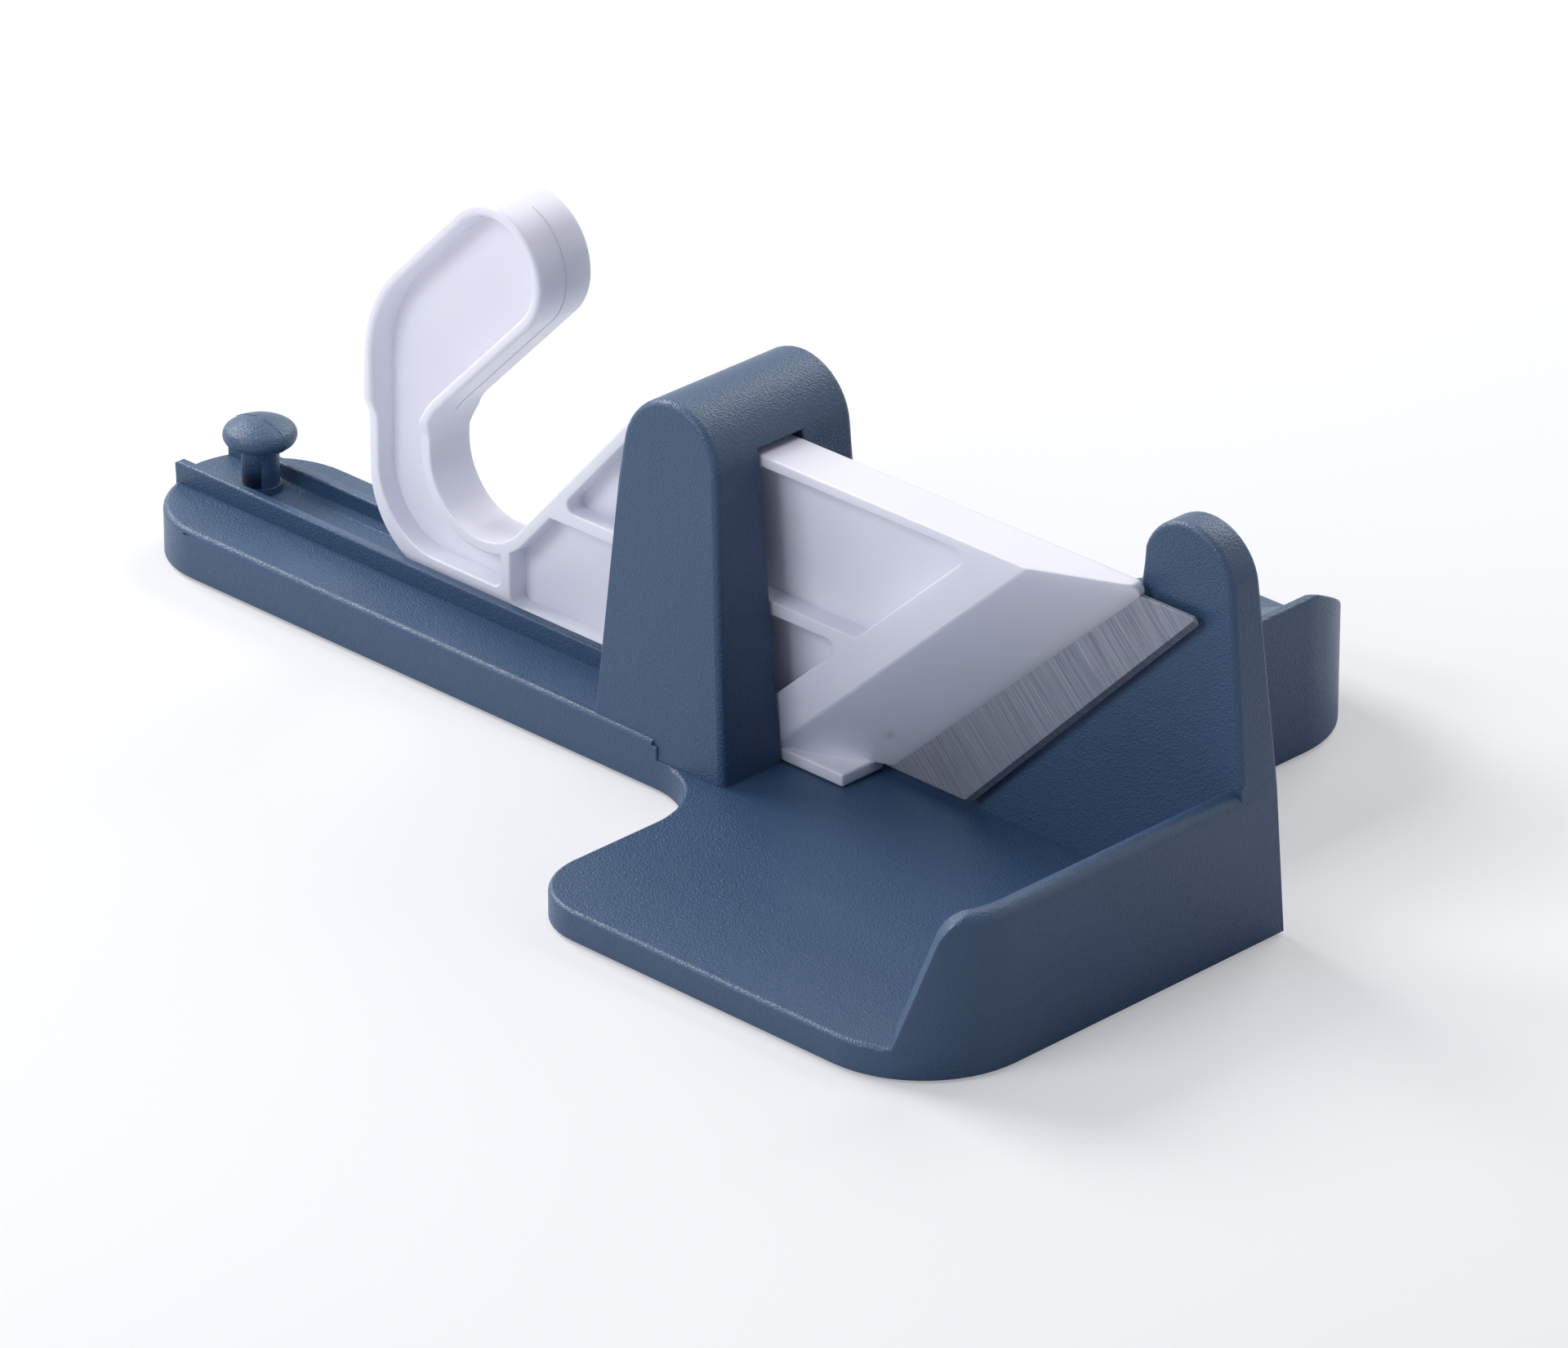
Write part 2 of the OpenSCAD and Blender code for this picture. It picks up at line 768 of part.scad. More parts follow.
// Pocket inside the grip and the heel.
module rear_pocket() {
    intersection() {
        outline(inset(carriage_view, rim));
        union() {
            outline([
                [rim - grip_rear, rim_bottom, rim_heel_round],
                [-upright_back, rim_bottom, pocket_round],
                [-upright_back, shoulder_low, 0],
                [rim - grip_rear, shoulder_low, 0]
            ]);
            outline(grip_view);
        }
    }
}

// Pocket between the runner and the long rib.
module low_pocket() {
    low = runner_sole + runner;
    difference() {
        outline([
            [upright - upright_back, low, pocket_round],
            [ridge_x - (carriage_top - low) * ridge_run - band_run, low, pocket_round],
            [ridge_x - (carriage_top - long_rib_height) * ridge_run - band_run, long_rib_height, pocket_round],
            [upright - upright_back, long_rib_height, 0]
        ]);
        outline(inset(gap_plan, -rim));
    }
}

// Pocket between the long rib and the top flange.
module high_pocket() {
    brace_run = rim / sin(brace_angle);
    outline([
        [(long_rib_top - gap_foot) / tan(brace_angle) - grip_front + brace_run, long_rib_top, pocket_round],
        [ridge_x - (carriage_top - long_rib_top) * ridge_run - band_run, long_rib_top, pocket_round],
        [ridge_x - top_flange * ridge_run - band_run, flange_under, pocket_round],
        [(flange_under - gap_foot) / tan(brace_angle) - grip_front + brace_run, flange_under, pocket_round]
    ]);
}

// What the sloping deflector leaves free in front of the ridge.
module deflector_cut() {
    depth = blade_near - carriage_near;
    drop = deflector_run * sin(ridge_angle);
    translate([ridge_x, carriage_near, carriage_top])
        rotate([0, -ridge_angle, 0])
            rotate([90, 0, 90])
                translate([0, 0, -base_length])
                    linear_extrude(base_length * 2)
                        polygon([
                            [-depth, drop],
                            [depth, -drop],
                            [depth, -drop * 3],
                            [-depth, -drop * 3]
                        ]);
}

module blade_view(gap) {
    rise = blade_high - blade_low;
    foot_x = edge_x + blade_low - tray_height;
    outline([
        [foot_x - blade_run - gap, blade_low - gap, blade_round],
        [foot_x + gap, blade_low - gap, blade_round],
        [foot_x + rise + gap * 3, blade_high + gap, blade_round],
        [foot_x + rise - blade_run + gap, blade_high + gap, blade_round]
    ]);
}

screw_spots = [
    for (i = [0 : 2])
        let (z = screw_low + screw_pitch * i)
        [edge_x + z - tray_height - blade_run + screw_run, z]
];

module slider() {
    grip_near = slot_mid - grip_width / 2;
    grip_far = slot_mid + grip_width / 2;
    color([0.86, 0.89, 0.93])
        at_base()
            difference() {
                union() {
                    difference() {
                        between(carriage_near, carriage_far)
                            outline(carriage_view);
                        deflector_cut();
                    }
                    bar_box(x_heel, foot_front, carriage_near, carriage_far, sole, foot_top);
                    // the grip is wider than the carriage above its shoulders
                    intersection() {
                        between(grip_near, grip_far)
                            outline(grip_view);
                        rotate([90, 0, 90])
                            translate([0, 0, -grip_rear - wall])
                                linear_extrude(grip_rear + wall * 2)
                                    polygon([
                                        [carriage_near, shoulder_low],
                                        [carriage_far, shoulder_low],
                                        [grip_far, shoulder_high],
                                        [grip_far, total_width],
                                        [grip_near, total_width],
                                        [grip_near, shoulder_high]
                                    ]);
                    }
                }
                for (side = [[0, slot_mid - web / 2], [slot_mid + web / 2, strip_width]])
                    between(side[0], side[1]) {
                        rear_pocket();
                        low_pocket();
                        high_pocket();
                    }
                between(blade_near, strip_width)
                    blade_view(blade_gap);
                for (p = screw_spots)
                    translate([p[0], blade_near, p[1]])
                        rotate([90, 0, 0])
                            translate([0, 0, -slack])
                                cylinder(d = screw_d, h = screw_length - blade_thickness + slack);
            }
}

// The blade, let into the far side of the carriage, and its screws.

module blade() {
    color([0.72, 0.74, 0.76])
        at_base()
            difference() {
                between(blade_near, carriage_far)
                    blade_view(0);
                // ground bevel on the near side, along the cutting edge
                translate([edge_x, blade_near, tray_height])
                    rotate([0, -45, 0])
                        rotate([90, 0, 90])
                            translate([0, 0, -base_length])
                                linear_extrude(base_length * 2)
                                    polygon([
                                        [-blade_thickness, ground_width * 2],
                                        [blade_thickness, 0],
                                        [blade_thickness * 2, -ground_width],
                                        [-blade_thickness, -ground_width]
                                    ]);
                for (p = screw_spots)
                    translate([p[0], carriage_far, p[1]])
                        rotate([90, 0, 0])
                            screw_solid(slack);
            }
}

// A countersunk screw with its head flush at zero, pointing up.
module screw_solid(proud) {
    head_h = (screw_head_d - screw_d) / 2;
    translate([0, 0, -proud])
        cylinder(d = screw_head_d, h = proud, $fn = 48);
    cylinder(d1 = screw_head_d, d2 = screw_d, h = head_h, $fn = 48);
    cylinder(d = screw_d, h = screw_length, $fn = 48);
}

module blade_screw(i) {
    color([0.6, 0.62, 0.64])
        at_base()
            translate([screw_spots[i][0], carriage_far, screw_spots[i][1]])
                rotate([90, 0, 0])
                    difference() {
                        screw_solid(0);
                        translate([0, 0, -slack])
                            cylinder(d = screw_d / sqrt(3), h = slack + blade_thickness / 2, $fn = 6);
                    }
}

module blade_screw_low() {
    blade_screw(0);
}

module blade_screw_mid() {
    blade_screw(1);
}

module blade_screw_high() {
    blade_screw(2);
}

// The pin that stops the carriage, lifted out by its knob.

module stop_pin() {
    rim_x = knob_d / 2 - knob_rim;
    half = knob_height / 2;
    // the dome's radius makes it meet the rim without a corner
    drop = (rim_x * rim_x - (half - knob_rim) * (half - knob_rim)) / (half - knob_rim) / 2;
    dome = half + drop;
    meet = rim_x * dome / (dome - knob_rim);
    color([0.27, 0.33, 0.41])
        at_base()
            translate([-pin_back, slot_mid, seat_z]) {
                rotate_extrude() {
                    translate([0, stem_height])
                        intersection() {
                            translate([0, -drop])
                                circle(r = dome, $fn = 180);
                            translate([0, drop])
                                circle(r = dome, $fn = 180);
                            translate([0, -half])
                                square([meet, knob_height]);
                        }
                    translate([rim_x, stem_height])
                        circle(r = knob_rim, $fn = 48);
                    square([stem_d / 2, stem_height]);
                }
                translate([0, 0, -spigot_length])
                    cylinder(d = spigot_d, h = spigot_length + slack);
            }
}

// The rubber feet, each glued into a cup under the base.

module rubber_foot(i) {
    color([0.12, 0.12, 0.13])
        at_base()
            translate([foot_spots[i][0], foot_spots[i][1], -foot_proud]) {
                cylinder(d1 = foot_d - foot_proud, d2 = foot_d, h = foot_proud / 2);
                translate([0, 0, foot_proud / 2])
                    cylinder(d = foot_d, h = foot_sunk + foot_proud / 2);
            }
}

module rubber_foot_left() {
    rubber_foot(0);
}

module rubber_foot_front() {
    rubber_foot(1);
}

module rubber_foot_right() {
    rubber_foot(2);
}

module rubber_foot_back() {
    rubber_foot(3);
}

base();
slider();
blade();
blade_screw_low();
blade_screw_mid();
blade_screw_high();
stop_pin();
rubber_foot_left();
rubber_foot_front();
rubber_foot_right();
rubber_foot_back();
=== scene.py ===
"""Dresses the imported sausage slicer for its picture.

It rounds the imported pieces, adds finishes and moulding marks, and sets up studio and camera.
"""

import logging
import math
from collections.abc import Callable, Sequence
from dataclasses import dataclass, field
from enum import Enum
from typing import Any

import bmesh
import bpy
from mathutils import Matrix, Vector


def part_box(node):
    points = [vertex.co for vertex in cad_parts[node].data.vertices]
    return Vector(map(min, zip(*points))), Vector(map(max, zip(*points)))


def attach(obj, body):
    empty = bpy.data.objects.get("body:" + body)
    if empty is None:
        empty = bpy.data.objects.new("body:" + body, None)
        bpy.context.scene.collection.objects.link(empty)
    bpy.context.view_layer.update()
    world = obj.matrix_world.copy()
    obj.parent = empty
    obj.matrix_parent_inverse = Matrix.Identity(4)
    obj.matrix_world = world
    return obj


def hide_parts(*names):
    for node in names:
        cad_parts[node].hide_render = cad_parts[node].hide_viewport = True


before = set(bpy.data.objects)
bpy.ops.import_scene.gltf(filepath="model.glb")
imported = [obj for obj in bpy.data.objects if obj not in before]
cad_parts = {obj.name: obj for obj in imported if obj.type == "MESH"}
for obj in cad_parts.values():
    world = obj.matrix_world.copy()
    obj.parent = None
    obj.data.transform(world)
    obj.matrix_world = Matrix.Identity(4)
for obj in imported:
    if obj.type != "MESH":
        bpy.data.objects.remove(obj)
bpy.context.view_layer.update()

LOG = logging.getLogger("slicer")
MM = 0.001
# Points closer than this are one point.
MERGE_DISTANCE = 0.002 * MM
# Turn between two faces above which their edge is sharp, and below which the two are one flat.
SHARP_TURN = math.radians(28)
FLAT_TURN = math.radians(0.3)
# Steps across a rounded edge.
ROUND_STEPS = 3
# Half the side, in millimetres, of a box that holds the whole slicer.
ALL = 400.0
# Spread of the noise textures' values that the finishes use.
NOISE_SPREAD = {"From Min": 0.3, "From Max": 0.7}
PAPER_WHITE = "#FFFFFF"


class Slot(Enum):
    """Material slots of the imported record."""

    BASE = "base_plastic"
    SLIDER = "slider_plastic"
    BLADE = "blade_steel"
    SCREW = "screw_steel"
    PIN = "pin_plastic"
    FOOT = "foot_rubber"


class Body(Enum):
    """Bodies that a piece can ride on."""

    BASE = "base"
    SLIDER = "slider"
    PIN = "stop_pin"


def linear_colour(code: str) -> tuple[float, float, float, float]:
    """Turns a colour as the eye sees it into the renderer's linear one.

    Args:
        code: Colour as "#RRGGBB" in sRGB.

    Returns:
        The linear red, green, blue and an alpha of one.
    """
    values = [int(code[i : i + 2], 16) / 255 for i in (1, 3, 5)]
    lin = [v / 12.92 if v <= 0.04045 else ((v + 0.055) / 1.055) ** 2.4 for v in values]
    return (lin[0], lin[1], lin[2], 1.0)


def add_node(
    tree: bpy.types.NodeTree,
    kind: str,
    settings: dict[str, Any] | None = None,
    inputs: dict[str, Any] | None = None,
) -> bpy.types.Node:
    """Adds one node to a tree.

    Args:
        tree: Shader or geometry tree.
        kind: The node's type name.
        settings: Attributes to set on the node.
        inputs: Values for its sockets, or output sockets to link to them.

    Returns:
        The new node.
    """
    node = tree.nodes.new(kind)
    for key, value in (settings or {}).items():
        setattr(node, key, value)
    for key, value in (inputs or {}).items():
        if isinstance(value, bpy.types.NodeSocket):
            tree.links.new(value, node.inputs[key])
        else:
            node.inputs[key].default_value = value
    return node


def put_in_scene(name: str, data: bpy.types.ID) -> bpy.types.Object:
    """Makes an object and links it to the scene.

    Args:
        name: Name of the object.
        data: Its mesh, lamp or camera.

    Returns:
        The new object.
    """
    thing = bpy.data.objects.new(name, data)
    bpy.context.scene.collection.objects.link(thing)
    return thing


@dataclass(frozen=True)
class MouldedPlastic:
    """Moulded plastic, with the fine grain that an etched mould leaves.

    Attributes:
        name: Name of the material.
        colour: Main colour, sRGB.
        fleck: Colour that the pigment drifts to, sRGB.
        roughness: Middle roughness.
        specular: Strength of the surface's reflection.
        grain: Size of one grain in millimetres.
        grain_depth: Depth of the grain in millimetres.
        scatter: Share of the light that spreads inside.
        scatter_depth: How far it spreads, in millimetres.
        scatter_tint: Spread of red, green and blue, as shares of that depth.
        cloud: Size of the pigment's drifts in millimetres.
        grain_softness: How far grains melt into each other.
        roughness_swing: How far the roughness leaves its middle value.
    """

    name: str
    colour: str
    fleck: str
    roughness: float
    specular: float
    grain: float
    grain_depth: float
    scatter: float = 0.0
    scatter_depth: float = 6.0
    scatter_tint: tuple[float, float, float] = (1.0, 1.0, 1.2)
    cloud: float = 40.0
    grain_softness: float = 0.6
    roughness_swing: float = 0.06

    def build(self) -> bpy.types.Material:
        """Makes the material.

        Returns:
            The new material.
        """
        mat = bpy.data.materials.new(self.name)
        mat.use_nodes = True
        tree = mat.node_tree
        shader = tree.nodes["Principled BSDF"]
        shader.inputs["Specular IOR Level"].default_value = self.specular
        shader.inputs["Subsurface Weight"].default_value = self.scatter
        shader.inputs["Subsurface Radius"].default_value = self.scatter_tint
        shader.inputs["Subsurface Scale"].default_value = self.scatter_depth * MM
        place = add_node(tree, "ShaderNodeTexCoord")
        # a slow, faint change of tone, as pigment flows in the mould
        cloud = add_node(
            tree,
            "ShaderNodeTexNoise",
            inputs={
                "Vector": place.outputs["Object"],
                "Scale": 1 / (self.cloud * MM),
                "Detail": 3.0,
            },
        )
        tone = add_node(
            tree,
            "ShaderNodeMix",
            {"data_type": "RGBA"},
            {
                "Factor": cloud.outputs["Fac"],
                "A": linear_colour(self.colour),
                "B": linear_colour(self.fleck),
            },
        )
        tree.links.new(tone.outputs["Result"], shader.inputs["Base Color"])
        # the grain breaks the highlights into small sparks
        grain = add_node(
            tree,
            "ShaderNodeTexVoronoi",
            {"feature": "SMOOTH_F1"},
            {
                "Vector": place.outputs["Object"],
                "Scale": 1 / (self.grain * MM),
                "Smoothness": self.grain_softness,
            },
        )
        fine = add_node(
            tree,
            "ShaderNodeTexNoise",
            inputs={
                "Vector": place.outputs["Object"],
                "Scale": 1 / (self.grain * MM),
                "Detail": 2.0,
            },
        )
        both = add_node(
            tree,
            "ShaderNodeMath",
            {"operation": "ADD"},
            {0: grain.outputs["Distance"], 1: fine.outputs["Fac"]},
        )
        bump = add_node(
            tree,
            "ShaderNodeBump",
            inputs={
                "Strength": 1.0,
                "Distance": self.grain_depth * MM,
                "Height": both.outputs["Value"],
            },
        )
        tree.links.new(bump.outputs["Normal"], shader.inputs["Normal"])
        rough = add_node(
            tree,
            "ShaderNodeMapRange",
            inputs={
                "Value": fine.outputs["Fac"],
                **NOISE_SPREAD,
                "To Min": self.roughness - self.roughness_swing,
                "To Max": self.roughness + self.roughness_swing,
            },
        )
        tree.links.new(rough.outputs["Result"], shader.inputs["Roughness"])
        return mat


@dataclass(frozen=True)
class GroundSteel:
    """Stainless steel with the marks of a grinding wheel.

    Attributes:
        name: Name of the material.
        colour: Colour of the ridges, sRGB.
        dark: Colour of the marks, sRGB.
        roughness: Middle roughness.
        line_pitch: Distance between marks in millimetres.
        lean: Turn of the marks about Y, in radians.
        line_depth: Depth of a mark in millimetres.
        line_width: How far the pattern holds across the blade, in millimetres.
        line_length: Length of a mark in millimetres.
        mark_roughness: Roughness that a mark adds.
        ridge_polish: Roughness that a ridge loses.
    """

    name: str
    colour: str
    dark: str
    roughness: float
    line_pitch: float
    lean: float
    line_depth: float
    line_width: float = 6.0
    line_length: float = 30.0
    mark_roughness: float = 0.08
    ridge_polish: float = 0.05

    def build(self) -> bpy.types.Material:
        """Makes the material.

        Returns:
            The new material.
        """
        mat = bpy.data.materials.new(self.name)
        mat.use_nodes = True
        tree = mat.node_tree
        shader = tree.nodes["Principled BSDF"]
        shader.inputs["Metallic"].default_value = 1.0
        place = add_node(tree, "ShaderNodeTexCoord")
        # grinding marks run square to the edge, so the pattern is stretched that way
        turned = add_node(
            tree,
            "ShaderNodeMapping",
            {"vector_type": "TEXTURE"},
            {
                "Vector": place.outputs["Object"],
                "Rotation": (0.0, -self.lean, 0.0),
                "Scale": (self.line_pitch * MM, self.line_width * MM, self.line_length * MM),
            },
        )
        marks = add_node(
            tree,
            "ShaderNodeTexNoise",
            inputs={
                "Vector": turned.outputs["Vector"],
                "Scale": 1.0,
                "Detail": 4.0,
                "Roughness": 0.7,
            },
        )
        tone = add_node(
            tree,
            "ShaderNodeMapRange",
            inputs={"Value": marks.outputs["Fac"], "From Min": 0.35, "From Max": 0.65},
        )
        mix = add_node(
            tree,
            "ShaderNodeMix",
            {"data_type": "RGBA"},
            {
                "Factor": tone.outputs["Result"],
                "A": linear_colour(self.dark),
                "B": linear_colour(self.colour),
            },
        )
        tree.links.new(mix.outputs["Result"], shader.inputs["Base Color"])
        rough = add_node(
            tree,
            "ShaderNodeMapRange",
            inputs={
                "Value": marks.outputs["Fac"],
                **NOISE_SPREAD,
                "To Min": self.roughness + self.mark_roughness,
                "To Max": self.roughness - self.ridge_polish,
            },
        )
        tree.links.new(rough.outputs["Result"], shader.inputs["Roughness"])
        bump = add_node(
            tree,
            "ShaderNodeBump",
            inputs={
                "Strength": 1.0,
                "Distance": self.line_depth * MM,
                "Height": marks.outputs["Fac"],
            },
        )
        tree.links.new(bump.outputs["Normal"], shader.inputs["Normal"])
        return mat


# Slate-blue plastic: a matt, slightly dusty blue-grey whose grain sparkles on the rounded edges.
SLATE = MouldedPlastic(
    "slate_plastic",
    colour="#334D6A",
    fleck="#375270",
    roughness=0.38,
    specular=0.45,
    grain=0.55,
    grain_depth=0.14,
)
# White plastic: smooth and cool, with soft broad highlights and light glowing through its ribs.
WHITE = MouldedPlastic(
    "white_plastic",
    colour="#E9E9F2",
    fleck="#ECECF4",
    roughness=0.34,
    specular=0.45,
    grain=1.4,
    grain_depth=0.006,
    scatter=0.35,
)
# Ground steel: grey with fine marks square to the cutting edge.
BLADE_STEEL = GroundSteel(
    "ground_steel",
    colour="#A6A9B4",
    dark="#7A7E8A",
    roughness=0.54,
    line_pitch=0.45,
    lean=math.radians(45),
    line_depth=0.02,
)
# Screw steel: smoother and a little brighter.
SCREW_STEEL = GroundSteel(
    "screw_steel",
    colour="#B4B7BC",
    dark="#9DA0A6",
    roughness=0.26,
    line_pitch=0.8,
    lean=0.0,
    line_depth=0.004,
)
# Rubber: nearly black and dull.
RUBBER = MouldedPlastic(
    "foot_rubber",
    colour="#26272B",
    fleck="#2A2B2F",
    roughness=0.8,
    specular=0.3,
    grain=0.9,
    grain_depth=0.03,
)


@dataclass(frozen=True)
class EdgeRule:
    """How wide the edges in one region are rounded.

    Attributes:
        low: Lowest corner of the region, in millimetres.
        high: Highest corner of the region, in millimetres.
        width: Rounding in millimetres, zero for an edge left sharp.
    """

    low: tuple[float, float, float]
    high: tuple[float, float, float]
    width: float

    def holds(self, point: Vector) -> bool:
        """Tells whether a point lies in the region.

        Args:
            point: Point in metres.

        Returns:
            True if it does.
        """
        return all(self.low[i] <= point[i] / MM <= self.high[i] for i in range(3))


def merged_copy(node: str, name: str) -> bpy.types.Object:
    """Makes a joined-up copy of a CAD node's loose triangles.

    Args:
        node: CAD node to copy.
        name: Name of the new piece.

    Returns:
        The new object, linked to the scene.
    """
    mesh = bpy.data.meshes.new(name)
    work = bmesh.new()
    work.from_mesh(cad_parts[node].data)
    bmesh.ops.remove_doubles(work, verts=work.verts, dist=MERGE_DISTANCE)
    bmesh.ops.dissolve_degenerate(work, dist=MERGE_DISTANCE, edges=work.edges)
    bmesh.ops.dissolve_limit(
        work,
        angle_limit=FLAT_TURN,
        verts=work.verts,
        edges=work.edges,
        use_dissolve_boundaries=False,
    )
    work.to_mesh(mesh)
    work.free()
    mesh.materials.clear()
    return put_in_scene(name, mesh)


def split_edges(piece: bpy.types.Object, region: EdgeRule, level: float) -> None:
    """Splits the upright edges of a region at a level, so that a rounding can end there.

    Args:
        piece: Piece to split.
        region: Region that holds the edges.
        level: Height of the split in millimetres.
    """
    work = bmesh.new()
    work.from_mesh(piece.data)
    for edge in list(work.edges):
        low, high = sorted(edge.verts, key=lambda vert: vert.co.z)
        rise = high.co.z - low.co.z
        if not (region.holds(low.co) and region.holds(high.co)) or rise < 1 * MM:
            continue
        share = (level * MM - low.co.z) / rise
        if 0 < share < 1:
            bmesh.utils.edge_split(edge, low, share)
    work.to_mesh(piece.data)
    work.free()


def smooth(piece: bpy.types.Object) -> None:
    """Lets the shading of a piece run smoothly over its edges.

    Args:
        piece: Piece to smooth.
    """
    for polygon in piece.data.polygons:
        polygon.use_smooth = True


def soften(
    piece: bpy.types.Object, rules: Sequence[EdgeRule], segments: int = ROUND_STEPS
) -> None:
    """Rounds the sharp outer edges that the rules name and makes the piece a plain mesh again.

    Args:
        piece: Piece whose edges are rounded.
        rules: Regions with their widths; the first that holds an edge counts.
        segments: Steps across each rounding.
    """
    widest = max(rule.width for rule in rules)
    work = bmesh.new()
    work.from_mesh(piece.data)
    weight = work.edges.layers.float.new("bevel_weight_edge")
    for edge in work.edges:
        if not edge.is_manifold or edge.calc_face_angle_signed(0.0) < SHARP_TURN:
            continue
        for rule in rules:
            if rule.holds(edge.verts[0].co) and rule.holds(edge.verts[1].co):
                edge[weight] = rule.width / widest
                break
    work.to_mesh(piece.data)
    work.free()
    smooth(piece)
    piece.data.set_sharp_from_angle(angle=SHARP_TURN)
    bevel = piece.modifiers.new("soft_edges", "BEVEL")
    bevel.limit_method = "WEIGHT"
    bevel.offset_type = "OFFSET"
    bevel.width = widest * MM
    bevel.segments = segments
    bevel.use_clamp_overlap = False
    bevel.loop_slide = False
    bevel.harden_normals = False
    bevel.miter_outer = "MITER_SHARP"
    flatten_modifiers(piece)


def flatten_modifiers(piece: bpy.types.Object) -> None:
    """Puts the result of an object's modifiers into its own mesh.

    Args:
        piece: Object to settle.
    """
    bpy.context.view_layer.update()
    seen = piece.evaluated_get(bpy.context.evaluated_depsgraph_get())
    mesh = bpy.data.meshes.new_from_object(seen)
    old = piece.data
    piece.modifiers.clear()
    piece.data = mesh
    mesh.name = piece.name
    bpy.data.meshes.remove(old)


def shade(piece: bpy.types.Object) -> None:
    """Shades a piece smooth but for its sharp edges, with big flats kept flat.

    Args:
        piece: Piece to shade.
    """
    smooth(piece)
    piece.data.set_sharp_from_angle(angle=SHARP_TURN)
    steady = piece.modifiers.new("steady_flats", "WEIGHTED_NORMAL")
    steady.mode = "FACE_AREA_WITH_ANGLE"
    steady.weight = 100
    steady.keep_sharp = True
    flatten_modifiers(piece)


def finish_piece(
    piece: bpy.types.Object, material: bpy.types.Material, body: Body
) -> None:
    """Gives a piece its material and the body it rides on.

    Args:
        piece: The piece.
        material: Its finish.
        body: Body that carries it.
    """
    piece.data.materials.clear()
    piece.data.materials.append(material)
    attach(piece, body.value)
    LOG.info("%s: %d faces on %s", piece.name, len(piece.data.polygons), body.value)


@dataclass
class LineTree:
    """Geometry Nodes tree that lays a thin round bead along the edges of a mesh.

    Attributes:
        sides: Sides of the bead's section.
        spacing_mm: Distance between its sections in millimetres.
    """

    sides: int = 8
    spacing_mm: float = 1.5

    def __post_init__(self) -> None:
        """Builds the tree with its named inputs: path, radius, spacing and finish."""
        self.group = bpy.data.node_groups.new("bead_along_edges", "GeometryNodeTree")
        face = self.group.interface
        face.new_socket("Path", in_out="INPUT", socket_type="NodeSocketGeometry")
        self.radius = face.new_socket("Radius", in_out="INPUT", socket_type="NodeSocketFloat")
        self.spacing = face.new_socket("Spacing", in_out="INPUT", socket_type="NodeSocketFloat")
        self.finish = face.new_socket("Finish", in_out="INPUT", socket_type="NodeSocketMaterial")
        face.new_socket("Bead", in_out="OUTPUT", socket_type="NodeSocketGeometry")
        tree = self.group
        given = add_node(tree, "NodeGroupInput")
        curve = add_node(tree, "GeometryNodeMeshToCurve", inputs={"Mesh": given.outputs["Path"]})
        even = add_node(
            tree,
            "GeometryNodeResampleCurve",
            {"mode": "LENGTH"},
            {"Curve": curve.outputs["Curve"], "Length": given.outputs["Spacing"]},
        )
        ring = add_node(
            tree,
            "GeometryNodeCurvePrimitiveCircle",
            inputs={"Resolution": self.sides, "Radius": given.outputs["Radius"]},
        )
        bead = add_node(
            tree,
            "GeometryNodeCurveToMesh",
            inputs={
                "Curve": even.outputs["Curve"],
                "Profile Curve": ring.outputs["Curve"],
                "Fill Caps": True,
            },
        )
        real = add_node(
            tree, "GeometryNodeRealizeInstances", inputs={"Geometry": bead.outputs["Mesh"]}
        )
        dressed = add_node(
            tree,
            "GeometryNodeSetMaterial",
            inputs={"Geometry": real.outputs["Geometry"], "Material": given.outputs["Finish"]},
        )
        add_node(tree, "NodeGroupOutput", inputs={"Bead": dressed.outputs["Geometry"]})

    def bead(
        self, name: str, path: bpy.types.Mesh, radius: float, material: bpy.types.Material
    ) -> bpy.types.Object:
        """Lays the bead along a mesh of edges.

        Args:
            name: Name of the new piece.
            path: Mesh that holds the edges to follow, in metres.
            radius: Radius of the bead in millimetres.
            material: Finish of the bead.

        Returns:
            The bead as a plain mesh object.
        """
        piece = put_in_scene(name, path)
        lay = piece.modifiers.new("bead", "NODES")
        lay.node_group = self.group
        lay[self.radius.identifier] = radius * MM
        lay[self.spacing.identifier] = self.spacing_mm * MM
        lay[self.finish.identifier] = material
        flatten_modifiers(piece)
        smooth(piece)
        return piece


def path_mesh(name: str, chains: Sequence[Sequence[tuple[float, float, float]]]) -> bpy.types.Mesh:
    """Makes a mesh of edges along chains of points.

    Args:
        name: Name of the mesh.
        chains: Points of each chain, in millimetres.

    Returns:
        The mesh.
    """
    points: list[tuple[float, ...]] = []
    edges: list[tuple[int, int]] = []
    for chain in chains:
        first = len(points)
        points.extend(tuple(value * MM for value in point) for point in chain)
        edges.extend((first + i, first + i + 1) for i in range(len(chain) - 1))
    mesh = bpy.data.meshes.new(name)
    mesh.from_pydata(points, edges, [])
    return mesh


